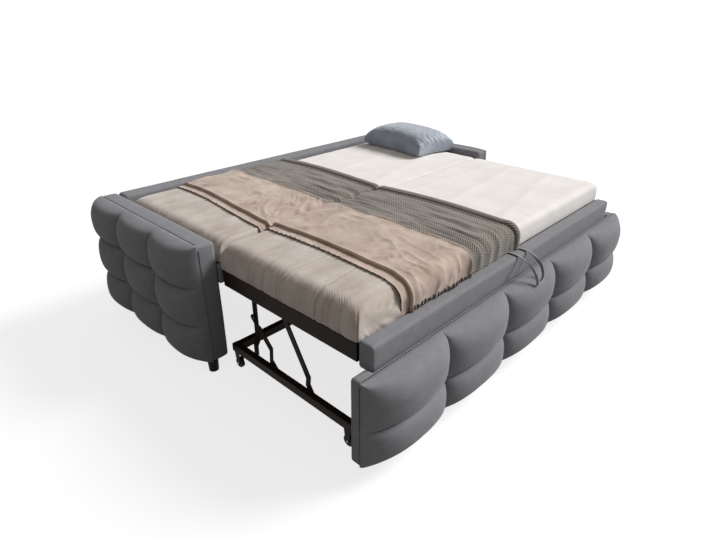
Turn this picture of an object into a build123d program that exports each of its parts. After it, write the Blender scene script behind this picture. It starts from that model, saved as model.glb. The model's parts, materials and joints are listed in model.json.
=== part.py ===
# Upholstered trundle bed: a daybed with a pop-up trundle, shown rolled out and raised.
# Millimetres. X runs along the bed, -Y is the front, Z is up, and the floor is z = 0.
# The origin is the middle of the bed's footprint, on the floor.
import os
from math import acos, atan2, cos, degrees, radians, sin

from build123d import *

os.makedirs("parts", exist_ok=True)

# Driving dimensions: the daybed
mattress_end_space = 20  # between a mattress and each end panel
mattress_spare = 31  # left between the front rail, the mattress and the back panel
panel_thick = 100  # end panels, padding included
back_thick = 90
panel_top = 630
floor_gap = 56  # under every upholstered panel
end_edge_round = 22
puff_depth = 88  # how far the tufted cushions stand out
puff_edge_share = 0.30  # depth left at a puff's side seams
puff_side_share = 0.22  # straight part of a puff's outline at its seams
puff_corner_draw = 9  # how far the tufts pull a puff's corners in
end_puff_columns = 3
end_puff_rows = 3
seam_gap = 0.6
seat_gap = 0.3  # between a curved piece and what it sits on
rail_thick = 30  # upholstered front rail of the daybed
rail_bottom = 425
rail_top = 520
rail_round = 10
foot_radius = 25
foot_inset = 27
foot_taper = 3
foot_stud_radius = 5
foot_stud_length = 20

# Driving dimensions: slats and what carries them
slat_top = 498
slat_thick = 14
slat_width = 70
slat_count = 13
slat_bow = 5  # how far the pressed slats arch upwards
slat_end_gap = 2
ledger_width = 24
ledger_height = 30
ledger_end_gap = 10
beam_width = 30
beam_height = 30
beam_wall = 2
beam_hanger_thick = 3
beam_hanger_length = 40
bracket_leg = 60
bracket_thick = 4
bracket_height = 50
bracket_rise = 3
bolt_radius = 4
bolt_head_radius = 8
bolt_head_height = 5
bolt_length = 24
bolt_share = 0.6  # how far along a bracket's leg its bolt is
board_bolt_shares = (-0.85, -0.3, 0.3, 0.85)
rail_bolt_shares = (-0.8, -0.25, 0.25, 0.8)

# Driving dimensions: mattresses and bedding
mattress_length = 1980
mattress_width = 772
mattress_height = 114
mattress_corner = 30
mattress_crown = 7
mattress_side_swell = 4
mattress_end_round = 26
layer_gap = 0.4
duvet_thick = 9
throw_thick = 7
beige_left = -760
beige_right = -350
grey_left = -349
grey_right = 45
side_hang = 45  # how far the throws hang down at the seam between the beds
front_hang = 96
front_tuck = 14  # the duvet's hem, above the mattress's underside
back_rim = 4  # the throws stop this far down where the back panel is
throw_ripple = 3
throw_ripple_count = 3
pillow_length = 570
pillow_width = 264
pillow_height = 132
pillow_waist = 14  # how far the pillow's sides are drawn in
pillow_end_space = 156  # from the right end panel to the pillow's middle
pillow_back_space = 299
pillow_turn = 5
pillow_depth_shares = (0.2, 0.82, 1, 0.82, 0.2)
pillow_draw_shares = (0, 0.7, 1, 0.7, 0)

# Driving dimensions: the trundle
trundle_gap = 18  # between the daybed's front and the trundle in this pose
platform_spare = 18  # the platform is this much deeper than its mattress
platform_end_space = 10  # the platform stands out this far at each end of its mattress
base_tube_width = 30
base_tube_height = 40
base_tube_wall = 2
base_tube_bottom = 83
tube_corner = 3
front_board_thick = 60
board_end_reach = 76  # the front board stands out this far beyond the base
front_board_top = 422
front_seam_share = 0.55  # height share of the upper row of puffs
front_puff_columns = 5
board_recess = 30  # how deep the front board's back is let in for the top rail
top_rail_thick = 68
top_rail_bottom = 400
top_rail_top = 510
top_rail_round = 14
top_rail_end_gap = 4
run_gap = 2  # between the top rail and the front board it passes

# Driving dimensions: the platform and its folding supports
platform_tube_width = 25
platform_tube_height = 75
platform_tube_wall = 2
cross_tube_width = 25
cross_tube_height = 30
centre_tube_height = 22
drop = 250  # travel from raised to lowered
bar_thick = 5
bar_width = 30
bar_lean = 30.5  # the front arms' lean when raised, degrees
pin_radius = 6
pin_clearance = 0.3
pin_head_radius = 9
pin_head_height = 3
pin_end_space = 2
pivot_below_top = 53  # the platform's pivots, below the slats' tops
base_pivot_rise = 22  # the stays' pivots, above the base tubes' undersides
arm_pivot_back = 309  # from the platform's back to the arm's top pivot
leg_pivot_back = 104
stay_pivot_back = 280
leg_foot_height = 92
hook_height = 279  # where the stay catches the leg
hook_mouth = 13
hook_mouth_lean = 25  # below level
hook_radius = 16
catch_radius = 4.5
stay_fold = 34  # how far the stays fold back as the platform is lowered, degrees
rail_lane = 0.3  # gap from the base tube to the first bar
lane_step = 13  # from one bar's lane to the next
joggle_start = 42
joggle_length = 22  # for each lane that a joggle crosses
strap_width = 16
strap_thick = 3
strap_spread = 74
strap_hang = 104
strap_tuck = 9
strap_x = 18  # the middle of the strap's loop
strap_bulge = 70

# Driving dimensions: casters
wheel_radius = 25
wheel_width = 18
wheel_bore = 4.05
wheel_hub_radius = 11
wheel_hub_extra = 1.2
tread_round = 4
axle_radius = 4
fork_thick = 2.5
fork_side_gap = 1.6
fork_plate = 3
fork_half_depth = 17
fork_axle_pad = 9
front_caster_in = 92
rear_caster_in = 28
overrun = 5


# Places worked out from those sizes
inner_length = mattress_length + 2 * mattress_end_space
inner_depth = rail_thick + mattress_width + mattress_spare
base_depth = mattress_width + platform_spare + top_rail_thick + run_gap - board_recess
base_half_length = mattress_length / 2 + platform_end_space
front_board_length = 2 * (base_half_length + board_end_reach)
inner_half = inner_length / 2
outer_half = inner_half + panel_thick
front_reach = trundle_gap + base_depth + front_board_thick + puff_depth
end_depth = inner_depth + back_thick
bed_front = (front_reach - end_depth) / 2  # Y of the end panels' front faces
bed_back = bed_front + end_depth
back_inner = bed_front + inner_depth
base_back = bed_front - trundle_gap
base_front = base_back - base_depth
board_front = base_front - front_board_thick
mattress_bottom = slat_top + seat_gap
slat_bottom = slat_top - slat_thick
slat_seat = slat_bottom - slat_bow
ledger_half = inner_half - bracket_leg - ledger_end_gap
beam_half = inner_half - beam_hanger_thick - slat_end_gap
bracket_middle = rail_bottom + bracket_height / 2 + bracket_rise
foot_x = outer_half - foot_inset
foot_ys = (bed_front + foot_inset, bed_back - foot_inset)
main_mattress_y = (bed_front + rail_thick + back_inner) / 2
platform_back = base_back
top_rail_front = base_front - board_recess + run_gap
platform_front = top_rail_front + top_rail_thick
trundle_mattress_y = (platform_front + platform_back) / 2
pivot_height = slat_top - pivot_below_top
base_pivot_height = base_tube_bottom + base_pivot_rise
platform_inner = base_half_length - platform_tube_width
base_inner = base_half_length - base_tube_width
arm_y = platform_back - arm_pivot_back
leg_y = platform_back - leg_pivot_back
stay_y = platform_back - stay_pivot_back
arm_length = (pivot_height - base_pivot_height) / cos(radians(bar_lean))
leg_length = pivot_height - leg_foot_height
stay_length = ((leg_y - stay_y) ** 2 + (hook_height - base_pivot_height) ** 2) ** 0.5
stay_lean = degrees(atan2(leg_y - stay_y, hook_height - base_pivot_height))
mouth_reach = catch_radius + bar_width / 2 / cos(radians(stay_lean + hook_mouth_lean))
lowered_lean = degrees(acos(cos(radians(bar_lean)) - drop / arm_length))
leg_fold = degrees(acos(1 - drop / leg_length))
puff_shares = (0, 0.2, 0.5, 0.8, 1)
puff_depth_shares = (puff_edge_share, 0.8, 1, 0.8, puff_edge_share)
puff_draw_shares = (1, 0.2, 0, 0.2, 1)


def save(piece, node):
    """Label a finished piece and write it as one STEP file."""
    piece.part.label = node
    export_step(piece.part, f"parts/{node}.step")


def lane(number):
    """Distance from the middle of the bed to the centre of a bar's lane."""
    return base_inner - rail_lane - bar_thick / 2 - number * lane_step


def add_cushion(base, length, width, depth, depth_shares, draws):
    """Loft a crowned cushion that stands on a plane, with its length along the plane's X."""
    sections = []
    for share, depth_share, draw in zip(puff_shares, depth_shares, draws, strict=True):
        middle = base.from_local_coords(Vector(length * (share - 0.5), 0, 0))
        half = width / 2 - draw
        reach = depth * depth_share
        side = depth * puff_side_share * depth_share
        across = Plane(middle, x_dir=base.z_dir, z_dir=base.x_dir)
        with BuildSketch(across, mode=Mode.PRIVATE) as outline:
            with BuildLine():
                Polyline((side, half), (0, half), (0, -half), (side, -half))
                ThreePointArc((side, -half), (reach, 0), (side, half))
            make_face()
        sections.append(outline.sketch.face())
    loft(sections)


def add_box(low, high, mode=Mode.ADD):
    """Add a plain block between two corners."""
    size = [b - a for a, b in zip(low, high, strict=True)]
    with Locations(tuple(a + s / 2 for a, s in zip(low, size, strict=True))):
        Box(*size, mode=mode)


def add_tube(plane, width, height, wall, length):
    """Add a hollow rectangular steel tube along a plane's normal."""
    with BuildSketch(plane, mode=Mode.PRIVATE) as section:
        RectangleRounded(width, height, tube_corner)
        RectangleRounded(width - 2 * wall, height - 2 * wall, tube_corner - wall, mode=Mode.SUBTRACT)
    extrude(section.sketch, amount=length)


def along_x(start, y, z):
    """A plane across a piece that runs along X from a start."""
    return Plane((start, y, z), x_dir=(0, 1, 0), z_dir=(1, 0, 0))


# End panels: padded boards with a boxed edge, tufted on the outside
def end_panel(side):
    with BuildPart() as panel:
        with BuildSketch(Plane.YZ.offset(side * inner_half)):
            with Locations(((bed_front + bed_back) / 2, (floor_gap + panel_top) / 2)):
                Rectangle(end_depth, panel_top - floor_gap)
        extrude(amount=side * panel_thick)
        fillet(panel.edges().filter_by(Axis.X), end_edge_round)
        inner_edges = panel.edges().group_by(Axis.X)[0 if side > 0 else -1]
        fillet(inner_edges, end_edge_round)
        for y, direction in ((bed_front + rail_thick, 1), (back_inner, -1)):
            with BuildSketch(Plane.YZ.offset(side * inner_half)):
                with Locations((y + direction * bracket_leg * bolt_share, bracket_middle)):
                    Circle(bolt_radius + pin_clearance)
            extrude(amount=side * bolt_length, mode=Mode.SUBTRACT)
        with Locations(*[(side * foot_x, y, floor_gap) for y in foot_ys]):
            Cylinder(
                foot_stud_radius + pin_clearance,
                foot_stud_length + pin_clearance,
                align=(Align.CENTER, Align.CENTER, Align.MIN),
                mode=Mode.SUBTRACT,
            )
    return panel


save(end_panel(-1), "end_panel_left")
save(end_panel(1), "end_panel_right")


# Tufted cushions on an upholstered face, in rows and columns with seams between them
def cushion_wall(face, length, row_heights, columns):
    with BuildPart() as wall:
        width = length / columns
        top = sum(row_heights) / 2
        for height in row_heights:
            for column in range(columns):
                middle = Vector((column + 0.5) * width - length / 2, top - height / 2, 0)
                add_cushion(
                    Plane(face.from_local_coords(middle), x_dir=face.x_dir, z_dir=face.z_dir),
                    width - seam_gap,
                    height - seam_gap,
                    puff_depth,
                    puff_depth_shares,
                    [puff_corner_draw * share for share in puff_draw_shares],
                )
            top -= height
    return wall


panel_middle = (floor_gap + panel_top) / 2
end_rows = [(panel_top - floor_gap) / end_puff_rows] * end_puff_rows
for side, name in ((-1, "left"), (1, "right")):
    outer_face = Plane(
        (side * outer_half, (bed_front + bed_back) / 2, panel_middle),
        x_dir=(0, side, 0),
        z_dir=(side, 0, 0),
    )
    save(cushion_wall(outer_face, end_depth, end_rows, end_puff_columns), f"end_cushions_{name}")

# Back panel, plain and padded
with BuildPart() as back_panel:
    with BuildSketch(Plane.YZ.offset(-inner_half)):
        with Locations(((back_inner + bed_back) / 2, panel_middle)):
            Rectangle(back_thick, panel_top - floor_gap)
    extrude(amount=inner_length)
    fillet(back_panel.edges().filter_by(Axis.X).group_by(Axis.Z)[-1], end_edge_round)
    for side in (-1, 1):
        with BuildSketch(Plane.XZ.offset(-back_inner)):
            with Locations((side * (inner_half - bracket_leg * bolt_share), bracket_middle)):
                Circle(bolt_radius + pin_clearance)
        extrude(amount=-bolt_length, mode=Mode.SUBTRACT)
save(back_panel, "back_panel")

# Front rail of the daybed, padded, above the trundle's bay
with BuildPart() as front_rail:
    with BuildSketch(Plane.YZ.offset(-inner_half)):
        with Locations((bed_front + rail_thick / 2, (rail_bottom + rail_top) / 2)):
            RectangleRounded(rail_thick, rail_top - rail_bottom, rail_round)
    extrude(amount=inner_length)
    for side in (-1, 1):
        with BuildSketch(Plane.XZ.offset(-bed_front - rail_thick)):
            with Locations((side * (inner_half - bracket_leg * bolt_share), bracket_middle)):
                Circle(bolt_radius + pin_clearance)
        extrude(amount=bolt_length, mode=Mode.SUBTRACT)
save(front_rail, "front_rail")

# Timber ledgers on the front rail and the back panel, for the slats' ends
with BuildPart() as ledgers:
    for low_y in (bed_front + rail_thick, back_inner - ledger_width):
        add_box(
            (-ledger_half, low_y, slat_seat - ledger_height),
            (ledger_half, low_y + ledger_width, slat_seat),
        )
save(ledgers, "slat_ledgers")

# Steel beam under the middle of the slats, hung from the end panels
with BuildPart() as centre_beam:
    add_tube(
        along_x(-beam_half, main_mattress_y, slat_bottom - seat_gap - beam_height / 2),
        beam_width,
        beam_height,
        beam_wall,
        2 * beam_half,
    )
save(centre_beam, "centre_beam")

with BuildPart() as beam_hangers:
    for side in (-1, 1):
        inner = inner_half - beam_hanger_length
        wall_half = beam_width / 2 + pin_clearance + beam_hanger_thick
        bottom = slat_bottom - 2 * seat_gap - beam_height - beam_hanger_thick
        add_box(
            (min(side * inner, side * inner_half), main_mattress_y - wall_half, bottom),
            (max(side * inner, side * inner_half), main_mattress_y + wall_half, slat_bottom),
        )
        pocket = wall_half - beam_hanger_thick
        end = inner_half - beam_hanger_thick
        add_box(
            (min(side * inner, side * end), main_mattress_y - pocket, bottom + beam_hanger_thick),
            (max(side * inner, side * end), main_mattress_y + pocket, slat_bottom),
            mode=Mode.SUBTRACT,
        )
save(beam_hangers, "beam_hangers")


# Pressed slats, arched a little between their seats
def slat_row(front, back, half_length):
    middle = (front + back) / 2
    step = 2 * half_length / slat_count
    with BuildPart() as slats:
        for number in range(slat_count):
            x = (number + 0.5) * step - half_length
            with BuildSketch(Plane.YZ.offset(x)):
                with BuildLine():
                    low = (front, slat_seat), (middle, slat_bottom), (back, slat_seat)
                    high = [(y, z + slat_thick) for y, z in low]
                    ThreePointArc(*low)
                    ThreePointArc(*high)
                    Line(low[0], high[0])
                    Line(low[-1], high[-1])
                make_face()
            extrude(amount=slat_width / 2, both=True)
    return slats


save(
    slat_row(bed_front + rail_thick + slat_end_gap, back_inner - slat_end_gap, inner_half),
    "main_slats",
)

# Round feet under the end panels
with BuildPart() as feet:
    with Locations(*[(side * foot_x, y, 0) for side in (-1, 1) for y in foot_ys]):
        Cone(
            foot_radius - foot_taper,
            foot_radius,
            floor_gap,
            align=(Align.CENTER, Align.CENTER, Align.MIN),
        )
    with Locations(*[(side * foot_x, y, floor_gap) for side in (-1, 1) for y in foot_ys]):
        Cylinder(foot_stud_radius, foot_stud_length, align=(Align.CENTER, Align.CENTER, Align.MIN))
save(feet, "bed_feet")

# Corner brackets that tie the front rail and the back panel to the end panels
bracket_corners = [
    (side, y, turn)
    for side in (-1, 1)
    for y, turn in ((bed_front + rail_thick, 1), (back_inner, -1))
]
with BuildPart() as corner_brackets:
    for side, y, turn in bracket_corners:
        low_z = bracket_middle - bracket_height / 2
        high_z = bracket_middle + bracket_height / 2
        far_y = y + turn * bracket_leg
        near_x = side * (inner_half - bracket_thick)
        far_x = side * (inner_half - bracket_leg)
        add_box(
            (min(near_x, side * inner_half), min(y, far_y), low_z),
            (max(near_x, side * inner_half), max(y, far_y), high_z),
        )
        thick_y = y + turn * bracket_thick
        add_box(
            (min(far_x, side * inner_half), min(y, thick_y), low_z),
            (max(far_x, side * inner_half), max(y, thick_y), high_z),
        )
        with BuildSketch(Plane.YZ.offset(far_x)):
            with Locations((y + turn * bracket_leg * bolt_share, bracket_middle)):
                Circle(bolt_radius + pin_clearance)
        extrude(amount=side * bracket_leg, mode=Mode.SUBTRACT)
        with BuildSketch(Plane.XZ.offset(-far_y)):
            with Locations((side * (inner_half - bracket_leg * bolt_share), bracket_middle)):
                Circle(bolt_radius + pin_clearance)
        extrude(amount=turn * bracket_leg, mode=Mode.SUBTRACT)
save(corner_brackets, "corner_brackets")


def add_bolt(head, direction, length):
    """Add a hexagon-headed bolt whose head seats on a plane at one point."""
    seat = Plane(head, z_dir=direction)
    with BuildSketch(seat.offset(-bolt_head_height), mode=Mode.PRIVATE) as hexagon:
        RegularPolygon(bolt_head_radius, 6)
    extrude(hexagon.sketch, amount=bolt_head_height)
    with BuildSketch(seat, mode=Mode.PRIVATE) as shank:
        Circle(bolt_radius)
    extrude(shank.sketch, amount=length)


with BuildPart() as corner_bolts:
    for side, y, turn in bracket_corners:
        bolt_in = bracket_leg * bolt_share
        for seat, direction in (
            ((side * (inner_half - bracket_thick), y + turn * bolt_in), (side, 0, 0)),
            ((side * (inner_half - bolt_in), y + turn * bracket_thick), (0, -turn, 0)),
        ):
            add_bolt((*seat, bracket_middle), direction, bolt_length)
save(corner_bolts, "corner_bolts")


# A mattress outline across the bed, which its covers follow further out
def bedding_outline(plane, middle_y, bottom, grow):
    half = mattress_width / 2 + grow
    side_top = mattress_bottom + mattress_height - mattress_crown + grow
    radius = mattress_corner + grow
    belly = (bottom + side_top - radius) / 2
    cut = radius * (1 - cos(radians(45)))
    with BuildSketch(plane, mode=Mode.PRIVATE) as outline:
        with BuildLine():
            for hand in (-1, 1):
                out = middle_y + hand * half
                ThreePointArc(
                    (out, bottom), (out + hand * mattress_side_swell, belly), (out, side_top - radius)
                )
                ThreePointArc(
                    (out, side_top - radius),
                    (out - hand * cut, side_top - cut),
                    (out - hand * radius, side_top),
                )
            ThreePointArc(
                (middle_y - half + radius, side_top),
                (middle_y, side_top + mattress_crown),
                (middle_y + half - radius, side_top),
            )
            Line((middle_y - half, bottom), (middle_y + half, bottom))
        make_face()
    return outline.sketch.face()


def mattress(middle_y):
    half = mattress_length / 2
    with BuildPart() as pad:
        for side in (-1, 1):
            outer = bedding_outline(
                Plane.YZ.offset(side * half), middle_y, mattress_bottom, -mattress_end_round / 2
            )
            inner = bedding_outline(
                Plane.YZ.offset(side * (half - mattress_end_round)), middle_y, mattress_bottom, 0
            )
            loft([outer, inner] if side < 0 else [inner, outer], ruled=True)
        middle = bedding_outline(
            Plane.YZ.offset(mattress_end_round - half), middle_y, mattress_bottom, 0
        )
        extrude(middle, amount=2 * (half - mattress_end_round))
    return pad


# A cover laid over a mattress: open below, with its hems cut at each side
def cover(middle_y, left, right, inside, outside, front_hem, back_hem, closed_left=False, ripples=0):
    bottom = mattress_bottom + pin_clearance
    start = left + (outside - inside) if closed_left else left - overrun
    with BuildPart() as cloth:
        if ripples:
            steps = 2 * ripples
            faces = [
                bedding_outline(
                    Plane.YZ.offset(left + (right - left) * number / steps),
                    middle_y,
                    bottom,
                    outside + throw_ripple * (number % 2),
                )
                for number in range(steps + 1)
            ]
            loft(faces)
        else:
            extrude(
                bedding_outline(Plane.YZ.offset(left), middle_y, bottom, outside),
                amount=right - left,
            )
        extrude(
            bedding_outline(Plane.YZ.offset(start), middle_y, bottom - overrun, inside),
            amount=right - start + overrun,
            mode=Mode.SUBTRACT,
        )
        far = mattress_width
        reach = left - overrun, right + overrun
        for hem, direction in ((front_hem, -1), (back_hem, 1)):
            ends = sorted((middle_y, middle_y + direction * far))
            add_box((reach[0], ends[0], bottom - overrun), (reach[1], ends[1], hem), mode=Mode.SUBTRACT)
    return cloth


mattress_top = mattress_bottom + mattress_height
side_hem = mattress_top - side_hang
beds = (
    ("main", main_mattress_y, side_hem, mattress_top - back_rim),
    ("trundle", trundle_mattress_y, mattress_top - front_hang, side_hem),
)
duvet_inside = layer_gap
duvet_outside = duvet_inside + duvet_thick
grey_inside = layer_gap
grey_outside = grey_inside + throw_thick
beige_inside = duvet_outside + layer_gap
beige_outside = beige_inside + throw_thick
for bed, middle_y, front_hem, back_hem in beds:
    save(mattress(middle_y), f"{bed}_mattress")
    save(
        cover(
            middle_y,
            -mattress_length / 2 - duvet_outside,
            beige_right,
            duvet_inside,
            duvet_outside,
            mattress_bottom + front_tuck,
            mattress_bottom + front_tuck,
            closed_left=True,
        ),
        f"{bed}_duvet",
    )
    save(
        cover(
            middle_y, beige_left, beige_right, beige_inside, beige_outside, front_hem, back_hem,
            ripples=throw_ripple_count,
        ),
        f"{bed}_throw_beige",
    )
    save(
        cover(
            middle_y, grey_left, grey_right, grey_inside, grey_outside, front_hem, back_hem,
            ripples=throw_ripple_count,
        ),
        f"{bed}_throw_grey",
    )

# Pillow on the daybed, turned a little, beside the right end panel
turn = radians(pillow_turn)
pillow_middle = inner_half - pillow_end_space, back_inner - pillow_back_space, mattress_top + seat_gap
with BuildPart() as pillow:
    add_cushion(
        Plane(pillow_middle, x_dir=(sin(turn), cos(turn), 0), z_dir=(0, 0, 1)),
        pillow_length,
        pillow_width,
        pillow_height,
        pillow_depth_shares,
        [pillow_waist * share for share in pillow_draw_shares],
    )
save(pillow, "pillow")

# Trundle base: steel side tubes with a front and a rear tube between them
base_middle_z = base_tube_bottom + base_tube_height / 2
for side, name in ((-1, "left"), (1, "right")):
    x = side * (base_half_length - base_tube_width / 2)
    with BuildPart() as base_side:
        add_tube(
            Plane((x, base_back, base_middle_z), x_dir=(1, 0, 0), z_dir=(0, -1, 0)),
            base_tube_width,
            base_tube_height,
            base_tube_wall,
            base_depth,
        )
    save(base_side, f"base_side_tube_{name}")

with BuildPart() as base_rear:
    add_tube(
        along_x(-base_inner, base_back - base_tube_width / 2, base_middle_z),
        base_tube_width,
        base_tube_height,
        base_tube_wall,
        2 * base_inner,
    )
save(base_rear, "base_rear_tube")

board_bolt_xs = [share * base_half_length for share in board_bolt_shares]
with BuildPart() as base_front_tube:
    add_tube(
        along_x(-base_inner, base_front + base_tube_width / 2, base_middle_z),
        base_tube_width,
        base_tube_height,
        base_tube_wall,
        2 * base_inner,
    )
    with BuildSketch(Plane.XZ.offset(-base_front - base_tube_width - overrun)):
        with Locations(*[(x, base_middle_z) for x in board_bolt_xs]):
            Circle(bolt_radius + pin_clearance)
    extrude(amount=base_tube_width + 2 * overrun, mode=Mode.SUBTRACT)
save(base_front_tube, "base_front_tube")

# Upholstered front board of the trundle, bolted to the front tube
with BuildPart() as front_board:
    with BuildSketch(Plane.YZ.offset(-front_board_length / 2)):
        with Locations((base_front - front_board_thick / 2, (floor_gap + front_board_top) / 2)):
            Rectangle(front_board_thick, front_board_top - floor_gap)
    extrude(amount=front_board_length)
    fillet(front_board.edges().filter_by(Axis.X).group_by(Axis.Y)[-1], end_edge_round)
    fillet(front_board.edges().filter_by(Axis.X).group_by(Axis.Y)[0], rail_round)
    recess_half = base_half_length - top_rail_end_gap + run_gap
    add_box(
        (-recess_half, base_front - board_recess, top_rail_bottom - drop - run_gap),
        (recess_half, base_front + overrun, front_board_top + overrun),
        mode=Mode.SUBTRACT,
    )
    with BuildSketch(Plane.XZ.offset(-base_front)):
        with Locations(*[(x, base_middle_z) for x in board_bolt_xs]):
            Circle(bolt_radius + pin_clearance)
    extrude(amount=bolt_length, mode=Mode.SUBTRACT)
save(front_board, "front_board")

board_height = front_board_top - floor_gap
front_rows = [board_height * front_seam_share, board_height * (1 - front_seam_share)]
board_face = Plane(
    (0, board_front, (floor_gap + front_board_top) / 2), x_dir=(1, 0, 0), z_dir=(0, -1, 0)
)
save(cushion_wall(board_face, front_board_length, front_rows, front_puff_columns), "front_cushions")

with BuildPart() as board_bolts:
    for x in board_bolt_xs:
        head = x, base_front + base_tube_width, base_middle_z
        add_bolt(head, (0, -1, 0), base_tube_width + bolt_length - overrun)
save(board_bolts, "board_bolts")

# Fixed casters: a bent fork, an axle and a wheel at each corner of the base
caster_places = [
    (f"{end}_{name}", side * (base_half_length - base_tube_width / 2), y)
    for end, y in (("front", base_front + front_caster_in), ("rear", base_back - rear_caster_in))
    for side, name in ((-1, "left"), (1, "right"))
]
fork_inner = wheel_width / 2 + fork_side_gap
fork_outer = fork_inner + fork_thick
with BuildPart() as forks:
    for _, x, y in caster_places:
        top = base_tube_bottom - fork_plate
        add_box(
            (x - fork_outer, y - fork_half_depth, top),
            (x + fork_outer, y + fork_half_depth, base_tube_bottom),
        )
        for side in (-1, 1):
            with BuildSketch(Plane.YZ.offset(x + side * fork_inner)):
                with BuildLine():
                    Polyline(
                        (y - fork_axle_pad, wheel_radius),
                        (y - fork_half_depth, top),
                        (y + fork_half_depth, top),
                        (y + fork_axle_pad, wheel_radius),
                    )
                    ThreePointArc(
                        (y + fork_axle_pad, wheel_radius),
                        (y, wheel_radius - fork_axle_pad),
                        (y - fork_axle_pad, wheel_radius),
                    )
                make_face()
                with Locations((y, wheel_radius)):
                    Circle(axle_radius, mode=Mode.SUBTRACT)
            extrude(amount=side * fork_thick)
save(forks, "caster_forks")

with BuildPart() as axles:
    for _, x, y in caster_places:
        with BuildSketch(Plane.YZ.offset(x - fork_outer)):
            with Locations((y, wheel_radius)):
                Circle(axle_radius)
        extrude(amount=2 * fork_outer)
save(axles, "caster_axles")

for place, x, y in caster_places:
    with BuildPart() as wheel:
        with BuildSketch(Plane((x, y, wheel_radius), x_dir=(0, 1, 0), z_dir=(0, 0, 1))):
            with BuildLine():
                half = wheel_width / 2
                hub = half + wheel_hub_extra
                Polyline(
                    (wheel_radius - tread_round, half),
                    (wheel_hub_radius, half),
                    (wheel_hub_radius, hub),
                    (wheel_bore, hub),
                    (wheel_bore, -hub),
                    (wheel_hub_radius, -hub),
                    (wheel_hub_radius, -half),
                    (wheel_radius - tread_round, -half),
                )
                round_cut = tread_round * (1 - cos(radians(45)))
                for hand in (-1, 1):
                    ThreePointArc(
                        (wheel_radius - tread_round, hand * half),
                        (wheel_radius - round_cut, hand * (half - round_cut)),
                        (wheel_radius, hand * (half - tread_round)),
                    )
                Line((wheel_radius, half - tread_round), (wheel_radius, tread_round - half))
            make_face()
        revolve(axis=Axis((x, y, wheel_radius), (1, 0, 0)))
    save(wheel, f"caster_wheel_{place}")


# Flat steel supports with a joggle near the foot, and a hole at each given distance
def joggled_bar(
    foot, lean, length, side, first_lane, holes, lanes=1, top_radius=bar_width / 2, cut=None
):
    lean = radians(lean)
    along = Vector(0, sin(lean), cos(lean))
    half = bar_thick / 2
    shift = -side * lanes * lane_step
    start = Vector(side * lane(first_lane), *foot)
    ends = -bar_width, joggle_start, joggle_start + lanes * joggle_length, length + bar_width
    with BuildPart() as bar:
        with BuildSketch(Plane(start, x_dir=(1, 0, 0), z_dir=(0, -cos(lean), sin(lean)))):
            with BuildLine():
                Polyline(
                    (-half, ends[0]),
                    (-half, ends[1]),
                    (shift - half, ends[2]),
                    (shift - half, ends[3]),
                    (shift + half, ends[3]),
                    (shift + half, ends[2]),
                    (half, ends[1]),
                    (half, ends[0]),
                    close=True,
                )
            make_face()
        extrude(amount=max(bar_width / 2, top_radius), both=True)
        side_plane = Plane(start, x_dir=along, z_dir=(1, 0, 0))
        with BuildSketch(side_plane) as outline:
            with Locations((length / 2, 0)):
                SlotCenterToCenter(length, bar_width)
            with Locations((length, 0)):
                Circle(top_radius)
            with Locations(*[(distance, 0) for distance in holes]):
                Circle(pin_radius + pin_clearance, mode=Mode.SUBTRACT)
        extrude(amount=lanes * lane_step + bar_thick, both=True, mode=Mode.INTERSECT)
        if cut:
            extrude(cut.sketch, amount=bar_thick, both=True, mode=Mode.SUBTRACT)
    return bar


def lower_end(top_y, lean, length):
    """The foot of a support that hangs from a top pivot."""
    lean = radians(lean)
    return top_y - length * sin(lean), pivot_height - length * cos(lean)


for side, name in ((-1, "left"), (1, "right")):
    foot = lower_end(arm_y, bar_lean, arm_length)
    save(
        joggled_bar(foot, bar_lean, arm_length, side, 0, (0, arm_length)),
        f"lift_arm_{name}",
    )
    with BuildSketch(Plane.YZ.offset(side * lane(3))) as catch_hole:
        with Locations((leg_y, hook_height)):
            Circle(catch_radius + pin_clearance)
    foot = lower_end(leg_y, 0, leg_length)
    save(
        joggled_bar(foot, 0, leg_length, side, 2, (leg_length,), cut=catch_hole),
        f"prop_leg_{name}",
    )
    mouth = radians(hook_mouth_lean)
    hook = Vector(side * lane(2), leg_y, hook_height)
    with BuildSketch(Plane(hook, x_dir=(0, -cos(mouth), -sin(mouth)), z_dir=(1, 0, 0))) as hook_cut:
        with Locations((mouth_reach / 2, 0)):
            SlotCenterToCenter(mouth_reach, hook_mouth)
    foot = (stay_y, base_pivot_height)
    save(
        joggled_bar(foot, stay_lean, stay_length, side, 0, (0,), 2, hook_radius, cut=hook_cut),
        f"stay_{name}",
    )


def add_pin(y, z, side, start, end, radius):
    """Add a headed pin between two distances from the middle of the bed."""
    for reach, size in ((end, radius), (end - pin_head_height, pin_head_radius)):
        begin = start if size == radius else end
        with BuildSketch(Plane.YZ.offset(side * begin), mode=Mode.PRIVATE) as disc:
            with Locations((y, z)):
                Circle(size)
        extrude(disc.sketch, amount=-side * (begin - reach))


with BuildPart() as platform_pins:
    for side in (-1, 1):
        for y, inner_lane in ((arm_y, 1), (leg_y, 3)):
            end = lane(inner_lane) - bar_thick / 2 - pin_clearance
            add_pin(y, pivot_height, side, platform_inner, end, pin_radius)
save(platform_pins, "platform_pins")

with BuildPart() as base_pins:
    for side in (-1, 1):
        end = lane(0) - bar_thick / 2 - pin_clearance
        add_pin(stay_y, base_pivot_height, side, base_inner, end, pin_radius)
save(base_pins, "base_pins")

with BuildPart() as catch_pins:
    for side in (-1, 1):
        with BuildSketch(Plane.YZ.offset(side * (lane(2) + bar_thick / 2 + pin_end_space))):
            with Locations((leg_y, hook_height)):
                Circle(catch_radius)
        extrude(amount=-side * (lane_step + bar_thick + 2 * pin_end_space))
save(catch_pins, "catch_pins")

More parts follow.
